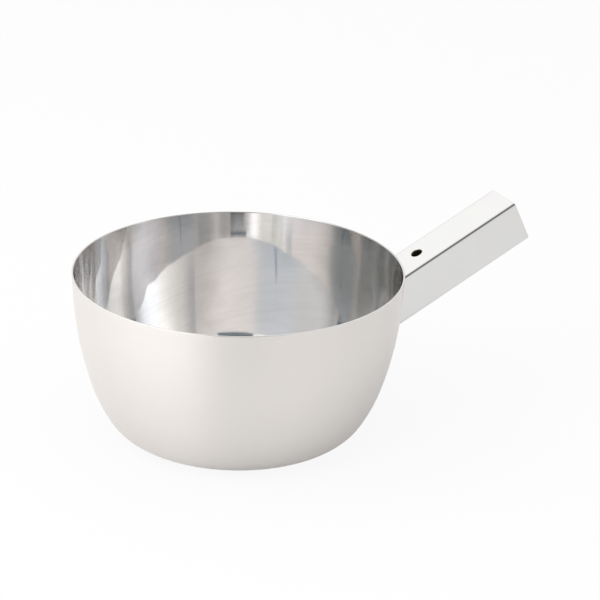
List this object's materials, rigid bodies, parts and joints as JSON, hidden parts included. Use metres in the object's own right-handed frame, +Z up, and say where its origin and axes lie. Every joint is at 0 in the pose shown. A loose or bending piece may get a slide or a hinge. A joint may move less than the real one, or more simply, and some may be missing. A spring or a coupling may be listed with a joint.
{
  "type": "water dipper",
  "caption": "Stainless steel water dipper: a deep round bowl with a flat base and a slanting square tube socket at its side that takes a wooden pole.",
  "frame": {"origin": "centre of the bowl's flat base, on the surface that it stands on", "axes": "+Z up the bowl's axis; +X level, towards the side with the socket; +Y completes the right-handed frame"},
  "size_m": [0.2667, 0.18, 0.1107],
  "materials": {
    "bowl_steel": "satin outside, polished inside",
    "socket_steel": "satin",
    "weld_steel": "as welded, brushed"
  },
  "bodies": {
    "root": {"bowl": "bowl_steel", "handle_socket": "socket_steel", "socket_root_weld": "weld_steel", "socket_seam_weld": "weld_steel"}
  },
  "joints": []
}
